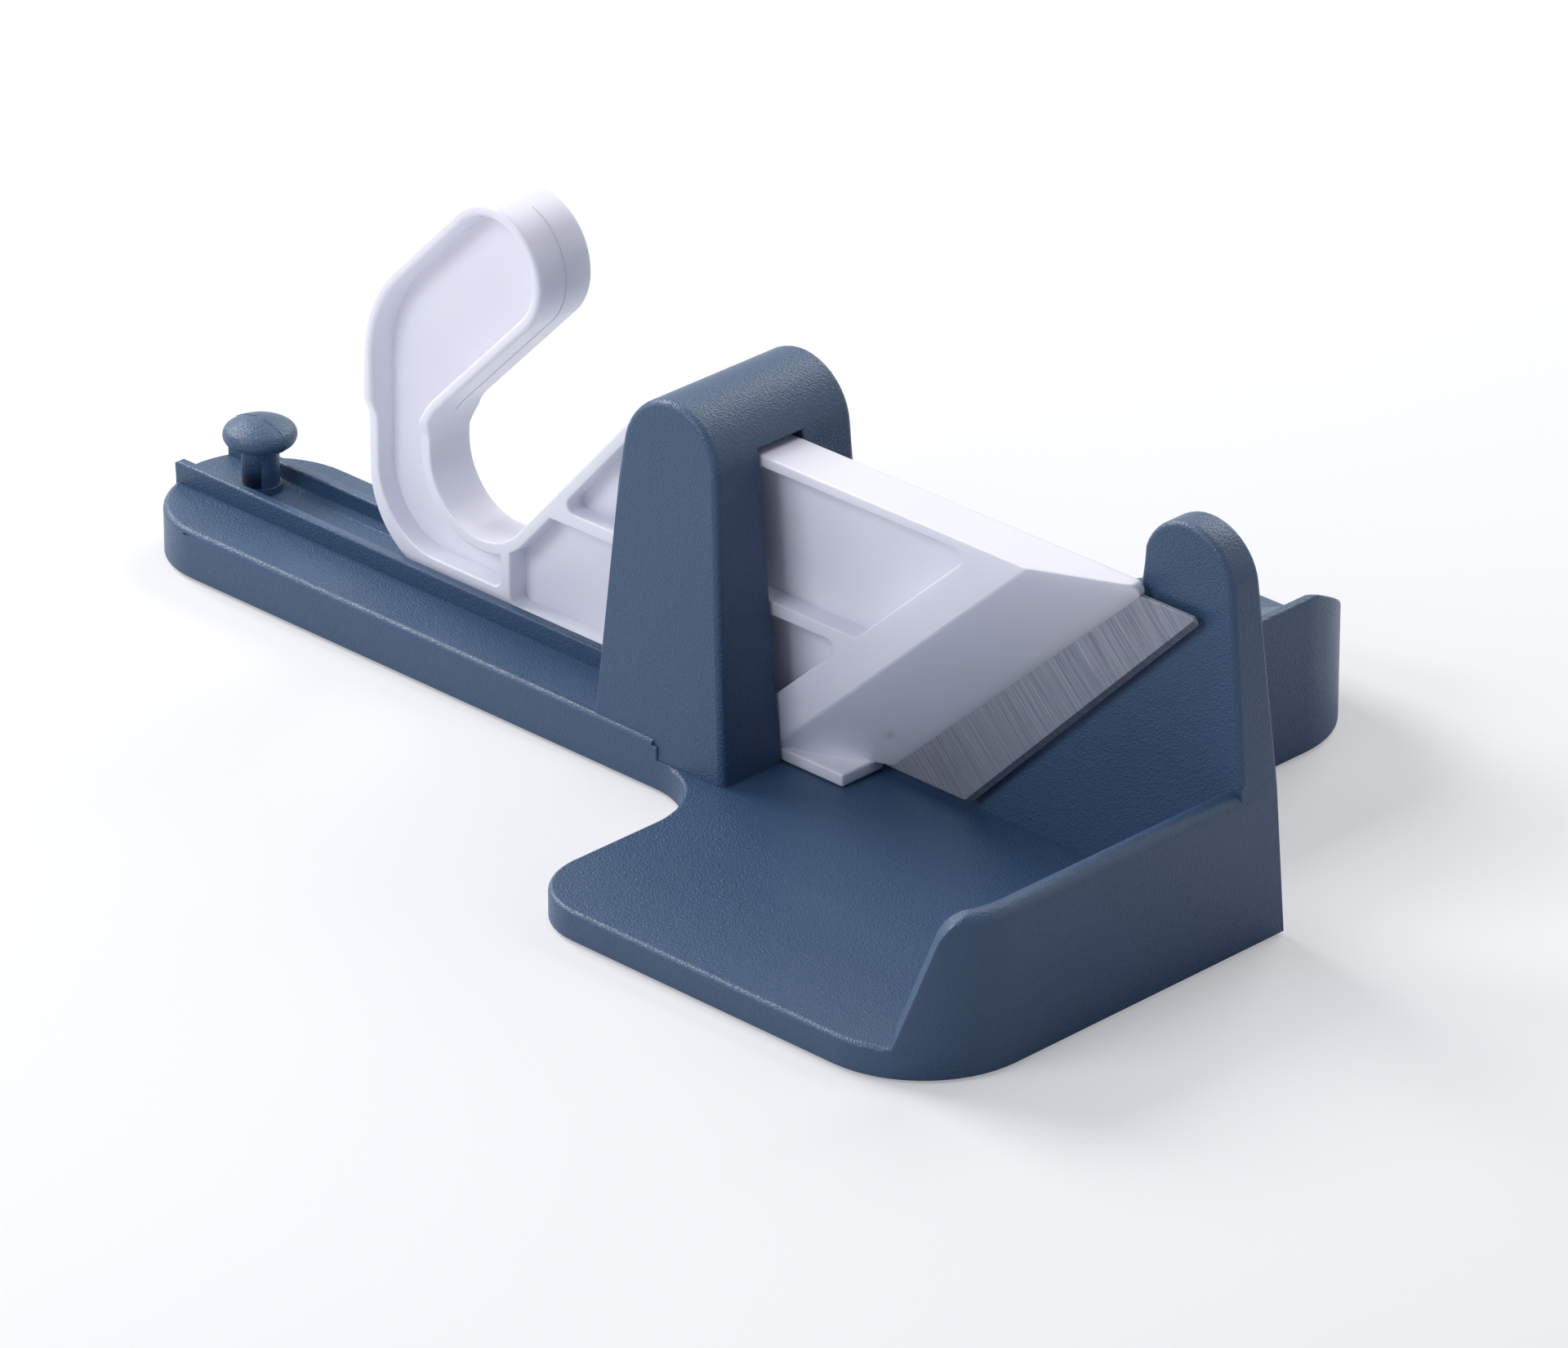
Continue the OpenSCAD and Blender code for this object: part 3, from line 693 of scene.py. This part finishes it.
def section_mesh(
    source: bpy.types.Object, level: float, keep: Callable[[Vector], bool]
) -> bpy.types.Mesh:
    """Cuts a piece with a plane square to Y and keeps part of the outline.

    Args:
        source: Piece to cut.
        level: Place of the plane along Y, in millimetres.
        keep: Tells whether a point of the outline stays.

    Returns:
        A mesh of the outline's edges.
    """
    work = bmesh.new()
    work.from_mesh(source.data)
    cut = bmesh.ops.bisect_plane(
        work,
        geom=list(work.verts) + list(work.edges) + list(work.faces),
        plane_co=(0.0, level * MM, 0.0),
        plane_no=(0.0, 1.0, 0.0),
    )
    edges = [item for item in cut["geom_cut"] if isinstance(item, bmesh.types.BMEdge)]
    chosen = [edge for edge in edges if all(keep(vert.co) for vert in edge.verts)]
    # a dict keeps the order in which the points come, so that each run gives the same mesh
    ends = dict.fromkeys(vert for edge in chosen for vert in edge.verts)
    places = {vert: i for i, vert in enumerate(ends)}
    points = [tuple(vert.co) for vert in places]
    pairs = [(places[edge.verts[0]], places[edge.verts[1]]) for edge in chosen]
    work.free()
    mesh = bpy.data.meshes.new(source.name + "_outline")
    mesh.from_pydata(points, pairs, [])
    return mesh


@dataclass
class BaseMoulding:
    """The slate-blue moulding: channel, tower, trays, wall, post and fences.

    Attributes:
        tower_round: Rounding of the tower's outline in millimetres, as are all below.
        post_round: Rounding of the post.
        fence_round: Rounding of the sausage tray's fence.
        opening_round: Rounding of the wall's opening and top.
        slot_round: Rounding of the slot through the tower.
        small_round: Rounding of every other outer edge.
        post_start: Height at which the post stands free of the fences.
        floor: Height of the channel's floor.
        line_radius: Radius of the flow lines in that floor.
        line_sink: How far their middle lies under the floor.
        line_end: Where they end along X.
        line_starts: Where each begins, along X and Y.
        piece: The visible moulding.
    """

    tower_round: float = 2.0
    post_round: float = 1.7
    fence_round: float = 0.9
    opening_round: float = 1.7
    slot_round: float = 0.5
    small_round: float = 0.5
    post_start: float = 49.0
    floor: float = 16.6
    line_radius: float = 0.35
    line_sink: float = 0.1
    line_end: float = -60.0
    line_starts: tuple[tuple[float, float], ...] = ((-155.0, -19.5), (-152.0, -13.0))
    piece: bpy.types.Object | None = field(default=None, init=False)

    def rules(self) -> list[EdgeRule]:
        """Lists the edge widths by region, in the order in which they are tried.

        Returns:
            The rules.
        """
        return [
            # underside, and hollows of the tower's legs and of the wall, stay sharp
            EdgeRule((-ALL, -ALL, -10), (ALL, ALL, 7.9), 0.0),
            EdgeRule((-3.4, -45.0, -10), (42, -27.5, 95), 0.0),
            EdgeRule((-3.4, -6.0, -10), (42, 7.2, 95), 0.0),
            EdgeRule((60, -4.3, -10), (188, 6.8, 47), 0.0),
            # the fence runs out into the post
            EdgeRule((183, -7.4, 40), (192, -3.9, self.post_start + 0.1), 0.0),
            # the rails are round already
            EdgeRule((-ALL, -29, 15), (19, -5, 22), 0.0),
            # nook between the sausage tray and the post
            EdgeRule((-ALL, 8, 7.9), (ALL, ALL, 9.6), 0.0),
            # mouths of the slot through the tower
            EdgeRule((-8, -25.3, 9), (45, -8.4, 98.3), self.slot_round),
            # outline of the tower
            EdgeRule((-6, -47.6, 15.0), (46, 9.8, 118), self.tower_round),
            EdgeRule((30, -47.6, 9.3), (46, 9.8, 118), self.tower_round),
            # outline of the post above the fences
            EdgeRule((152, -8, 9), (192, 9.8, 118), self.post_round),
            # near edge of the opening and top of the wall
            EdgeRule((22, -8, 9), (160, 9.8, 118), self.opening_round),
            # hairline gap in the sausage tray's floor
            EdgeRule((47.1, 77, 19.7), (47.5, 82, 19.9), 0.0),
            # the sausage tray's fence
            EdgeRule((40, 9.7, 15), (192, 124, 47), self.fence_round),
            # everything else
            EdgeRule((-ALL, -ALL, 7.9), (ALL, ALL, 200), self.small_round),
        ]

    def build(self) -> bpy.types.Object:
        """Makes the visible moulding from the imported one.

        Returns:
            The piece.
        """
        self.piece = merged_copy("base", "base_moulding")
        post_edges = EdgeRule((183, -8, 40), (192, -3, 118), 0.0)
        split_edges(self.piece, post_edges, self.post_start)
        soften(self.piece, self.rules())
        shade(self.piece)
        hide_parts("base")
        return self.piece

    def dress(self, material: bpy.types.Material, lines: LineTree) -> None:
        """Adds finish and moulding marks.

        Args:
            material: The slate-blue plastic.
            lines: Tree that lays the marks.
        """
        finish_piece(self.piece, material, Body.BASE)
        level = self.floor - self.line_sink
        chains = [[(x, y, level), (self.line_end, y, level)] for x, y in self.line_starts]
        path = path_mesh("channel_flow_lines", chains)
        flow = lines.bead("channel_flow_lines", path, self.line_radius, material)
        finish_piece(flow, material, Body.BASE)


@dataclass
class SliderMoulding:
    """The white moulding: hook handle, ribbed carriage and sloping deflector.

    Attributes:
        grip_round: Rounding of the hook's edges in millimetres, as are all below.
        rib_round: Rounding of every other edge.
        parting_radius: Radius of the parting line.
        parting_floor: Height above which the parting line shows.
        parting_end: Where it ends along X.
        parting_inset: How far it stays inside the slider's own box.
        piece: The visible moulding.
    """

    grip_round: float = 1.3
    rib_round: float = 0.6
    parting_radius: float = 0.16
    parting_floor: float = 66.0
    parting_end: float = -44.0
    parting_inset: float = 0.6
    piece: bpy.types.Object | None = field(default=None, init=False)

    def rules(self) -> list[EdgeRule]:
        """Lists the edge widths by region, in the order in which they are tried.

        Returns:
            The rules.
        """
        return [
            # the blade's bed and the deflector's thin edges stay sharp
            EdgeRule((44, -11.3, 0), (ALL, 0, 140), 0.0),
            EdgeRule((60, -16, 10), (80, -9, 30), 0.0),
            # the hook handle
            EdgeRule((-ALL, -ALL, 64), (-30, ALL, 140), self.grip_round),
            # everything else
            EdgeRule((-ALL, -ALL, 0), (ALL, ALL, 140), self.rib_round),
        ]

    def build(self) -> bpy.types.Object:
        """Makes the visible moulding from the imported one.

        Returns:
            The piece.
        """
        self.piece = merged_copy("slider", "slider_moulding")
        soften(self.piece, self.rules())
        shade(self.piece)
        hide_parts("slider")
        return self.piece

    def dress(self, material: bpy.types.Material, lines: LineTree) -> None:
        """Adds finish and the parting line round the grip.

        Args:
            material: The white plastic.
            lines: Tree that lays the line.
        """
        finish_piece(self.piece, material, Body.SLIDER)
        low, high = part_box("slider")
        middle = (low.y + high.y) / 2 / MM

        def on_grip(point: Vector) -> bool:
            """Tells whether a point of the outline lies on the grip.

            Args:
                point: Point in metres.

            Returns:
                True if it does.
            """
            inside = self.parting_inset * MM
            in_reach = point.z > self.parting_floor * MM and point.x < self.parting_end * MM
            return in_reach and low.x + inside < point.x and point.z < high.z - inside

        path = section_mesh(self.piece, middle, on_grip)
        line = lines.bead("grip_parting_line", path, self.parting_radius, material)
        finish_piece(line, material, Body.SLIDER)


@dataclass
class BladeSet:
    """The ground blade and its three countersunk screws.

    Attributes:
        edge_round: Rounding of the blade's edges in millimetres.
        screw_round: Rounding of the screws' edges in millimetres.
        steps: Steps across each rounding.
        nodes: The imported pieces, the blade first.
        pieces: The visible pieces in the same order.
    """

    edge_round: float = 0.12
    screw_round: float = 0.15
    steps: int = 2
    nodes: tuple[str, ...] = ("blade", "blade_screw_low", "blade_screw_mid", "blade_screw_high")
    pieces: list[bpy.types.Object] = field(default_factory=list, init=False)

    def build(self) -> list[bpy.types.Object]:
        """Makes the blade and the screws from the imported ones.

        Returns:
            The pieces, the blade first.
        """
        for node in self.nodes:
            piece = merged_copy(node, node + "_steel")
            width = self.edge_round if node == "blade" else self.screw_round
            soften(piece, [EdgeRule((-ALL, -ALL, 0), (ALL, ALL, 200), width)], self.steps)
            shade(piece)
            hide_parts(node)
            self.pieces.append(piece)
        return self.pieces

    def dress(self, blade: bpy.types.Material, screw: bpy.types.Material) -> None:
        """Adds the two steels.

        Args:
            blade: Ground steel.
            screw: Steel of the screws.
        """
        finish_piece(self.pieces[0], blade, Body.SLIDER)
        for piece in self.pieces[1:]:
            finish_piece(piece, screw, Body.SLIDER)


@dataclass
class StopPin:
    """The pin with its mushroom knob, parted down its middle by the mould.

    Attributes:
        parting_radius: Radius of the parting line in millimetres, as are all below.
        knob_height: How far down the parting line runs from the top.
        parting_inset: How far it stays under the very top.
        piece: The visible pin.
    """

    parting_radius: float = 0.2
    knob_height: float = 11.0
    parting_inset: float = 0.05
    piece: bpy.types.Object | None = field(default=None, init=False)

    def build(self) -> bpy.types.Object:
        """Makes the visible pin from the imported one.

        Returns:
            The piece.
        """
        self.piece = merged_copy("stop_pin", "stop_pin_moulding")
        shade(self.piece)
        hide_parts("stop_pin")
        return self.piece

    def dress(self, material: bpy.types.Material, lines: LineTree) -> None:
        """Adds finish and the parting line over the knob.

        Args:
            material: The slate-blue plastic.
            lines: Tree that lays the line.
        """
        finish_piece(self.piece, material, Body.PIN)
        low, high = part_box("stop_pin")
        middle = (low.y + high.y) / 2 / MM

        def on_knob(point: Vector) -> bool:
            """Tells whether a point of the outline lies on the knob."""
            return high.z - self.knob_height * MM < point.z < high.z - self.parting_inset * MM

        path = section_mesh(self.piece, middle, on_knob)
        line = lines.bead("knob_parting_line", path, self.parting_radius, material)
        finish_piece(line, material, Body.PIN)


@dataclass
class Feet:
    """The four rubber feet.

    Attributes:
        sides: Side of the base that each foot stands at.
    """

    sides: tuple[str, ...] = ("left", "front", "right", "back")

    def build(self, material: bpy.types.Material) -> None:
        """Makes and dresses the feet.

        Args:
            material: Black rubber.
        """
        for side in self.sides:
            piece = merged_copy("rubber_foot_" + side, "rubber_foot_" + side + "_pad")
            shade(piece)
            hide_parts("rubber_foot_" + side)
            finish_piece(piece, material, Body.BASE)


@dataclass(frozen=True)
class Softbox:
    """One flat studio lamp, aimed at the object.

    Attributes:
        name: Name of the lamp.
        place: Its middle, in metres.
        size: Width and height in metres.
        power: Power in watts.
        colour: Colour of its light, sRGB.
    """

    name: str
    place: tuple[float, float, float]
    size: tuple[float, float]
    power: float
    colour: str = PAPER_WHITE


@dataclass
class Studio:
    """Pale floor, soft sky and softboxes.

    Attributes:
        floor_size: Side of the floor in metres.
        floor_colour: Colour of the floor's paper, sRGB.
        floor_glow: How far the camera sees the paper lifted to white.
        sky_strength: Strength of the sky's light on the object.
        sky_colour: Colour of that light, sRGB.
        aim: Point that the lamps face, in metres.
        lamps: The softboxes.
    """

    floor_size: float = 60.0
    floor_colour: str = "#F0F0F0"
    floor_glow: float = 0.34
    sky_strength: float = 0.10
    sky_colour: str = "#C4D0FF"
    aim: tuple[float, float, float] = (0.0, 0.0, 0.05)
    lamps: tuple[Softbox, ...] = (
        Softbox("left_softbox", (-1.38, -0.12, 1.15), (1.0, 1.0), 28.0),
        Softbox("front_softbox", (-0.30, -1.36, 1.00), (0.8, 0.8), 12.5, "#F4F6FF"),
        Softbox("back_softbox", (-0.20, 1.37, 1.10), (1.1, 0.9), 12.5),
        Softbox("right_softbox", (1.30, 0.91, 0.85), (0.8, 0.8), 2.5, "#EEF1FF"),
        Softbox("top_softbox", (0.0, 0.1, 1.85), (0.8, 0.8), 3.5),
    )

    def build(self) -> None:
        """Builds floor, sky and lamps."""
        self.build_floor()
        self.build_sky()
        for lamp in self.lamps:
            self.build_lamp(lamp)

    def build_floor(self) -> None:
        """Lays the pale floor on the table plane."""
        half = self.floor_size / 2
        mesh = bpy.data.meshes.new("floor")
        mesh.from_pydata(
            [(-half, -half, 0.0), (half, -half, 0.0), (half, half, 0.0), (-half, half, 0.0)],
            [],
            [(0, 1, 2, 3)],
        )
        floor = put_in_scene("floor", mesh)
        mat = bpy.data.materials.new("floor_paper")
        mat.use_nodes = True
        tree = mat.node_tree
        tree.nodes.clear()
        paper = add_node(
            tree, "ShaderNodeBsdfDiffuse", inputs={"Color": linear_colour(self.floor_colour)}
        )
        glow = add_node(tree, "ShaderNodeEmission", inputs={"Color": linear_colour(PAPER_WHITE)})
        rays = add_node(tree, "ShaderNodeLightPath")
        # the camera sees the paper lifted towards white, so that its shadows stay pale
        share = add_node(
            tree,
            "ShaderNodeMath",
            {"operation": "MULTIPLY"},
            {0: rays.outputs["Is Camera Ray"], 1: self.floor_glow},
        )
        mix = add_node(
            tree,
            "ShaderNodeMixShader",
            inputs={
                0: share.outputs["Value"],
                1: paper.outputs["BSDF"],
                2: glow.outputs["Emission"],
            },
        )
        add_node(tree, "ShaderNodeOutputMaterial", inputs={"Surface": mix.outputs["Shader"]})
        mesh.materials.append(mat)
        LOG.info("floor laid")

    def build_sky(self) -> None:
        """Makes an even sky that shows as white, straight, mirrored or through a piece."""
        world = bpy.data.worlds.new("studio")
        bpy.context.scene.world = world
        world.use_nodes = True
        tree = world.node_tree
        tree.nodes.clear()
        rays = add_node(tree, "ShaderNodeLightPath")
        straight = add_node(
            tree,
            "ShaderNodeMath",
            {"operation": "MAXIMUM"},
            {0: rays.outputs["Is Camera Ray"], 1: rays.outputs["Is Transmission Ray"]},
        )
        seen = add_node(
            tree,
            "ShaderNodeMath",
            {"operation": "MAXIMUM"},
            {0: straight.outputs["Value"], 1: rays.outputs["Is Glossy Ray"]},
        )
        lit = add_node(
            tree,
            "ShaderNodeBackground",
            inputs={"Color": linear_colour(self.sky_colour), "Strength": self.sky_strength},
        )
        white = add_node(
            tree,
            "ShaderNodeBackground",
            inputs={"Color": linear_colour(PAPER_WHITE), "Strength": 1.0},
        )
        mix = add_node(
            tree,
            "ShaderNodeMixShader",
            inputs={
                0: seen.outputs["Value"],
                1: lit.outputs["Background"],
                2: white.outputs["Background"],
            },
        )
        add_node(tree, "ShaderNodeOutputWorld", inputs={"Surface": mix.outputs["Shader"]})

    def build_lamp(self, lamp: Softbox) -> None:
        """Hangs one softbox and turns it to the object.

        Args:
            lamp: Its place, size and power.
        """
        data = bpy.data.lights.new(lamp.name, "AREA")
        data.shape = "RECTANGLE"
        data.size, data.size_y = lamp.size
        data.energy = lamp.power
        data.color = linear_colour(lamp.colour)[:3]
        box = put_in_scene(lamp.name, data)
        place = Vector(lamp.place)
        box.matrix_world = Matrix.LocRotScale(
            place, (Vector(self.aim) - place).to_track_quat("-Z", "Y"), None
        )
        LOG.info("%s hung", lamp.name)


@dataclass(frozen=True)
class ProductCamera:
    """The camera of the reference picture, from its measured angles.

    Attributes:
        place: Its place in metres.
        right: Its right-hand direction.
        up: Its upward direction.
        back: The direction behind it.
        lens: Focal length in millimetres.
        sensor: Width of the sensor in millimetres.
        near: Nearest distance that it sees, in metres.
        far: Farthest distance that it sees, in metres.
    """

    place: tuple[float, float, float] = (1.8507, -1.8517, 1.3128)
    right: tuple[float, float, float] = (0.71104, 0.70315, 0.0)
    up: tuple[float, float, float] = (-0.31297, 0.31648, 0.89548)
    back: tuple[float, float, float] = (0.62966, -0.63672, 0.44510)
    lens: float = 250.76
    sensor: float = 36.0
    near: float = 0.05
    far: float = 200.0

    def build(self) -> None:
        """Makes the camera and makes it the scene's own."""
        data = bpy.data.cameras.new("product_camera")
        data.sensor_fit = "HORIZONTAL"
        data.sensor_width = self.sensor
        data.lens = self.lens
        data.clip_start, data.clip_end = self.near, self.far
        camera = put_in_scene("product_camera", data)
        axes = Matrix((self.right, self.up, self.back)).transposed()
        camera.matrix_world = Matrix.Translation(self.place) @ axes.to_4x4()
        bpy.context.scene.camera = camera


def main() -> None:
    """Builds the scene in order."""
    logging.basicConfig(level=logging.INFO, format="%(name)s: %(message)s")
    bpy.context.scene.view_settings.view_transform = "Standard"
    slate, white = SLATE.build(), WHITE.build()
    lines = LineTree()
    base = BaseMoulding()
    base.build()
    base.dress(slate, lines)
    slider = SliderMoulding()
    slider.build()
    slider.dress(white, lines)
    blade = BladeSet()
    blade.build()
    blade.dress(BLADE_STEEL.build(), SCREW_STEEL.build())
    pin = StopPin()
    pin.build()
    pin.dress(slate, lines)
    Feet().build(RUBBER.build())
    Studio().build()
    ProductCamera().build()


if __name__ == "__main__":
    main()
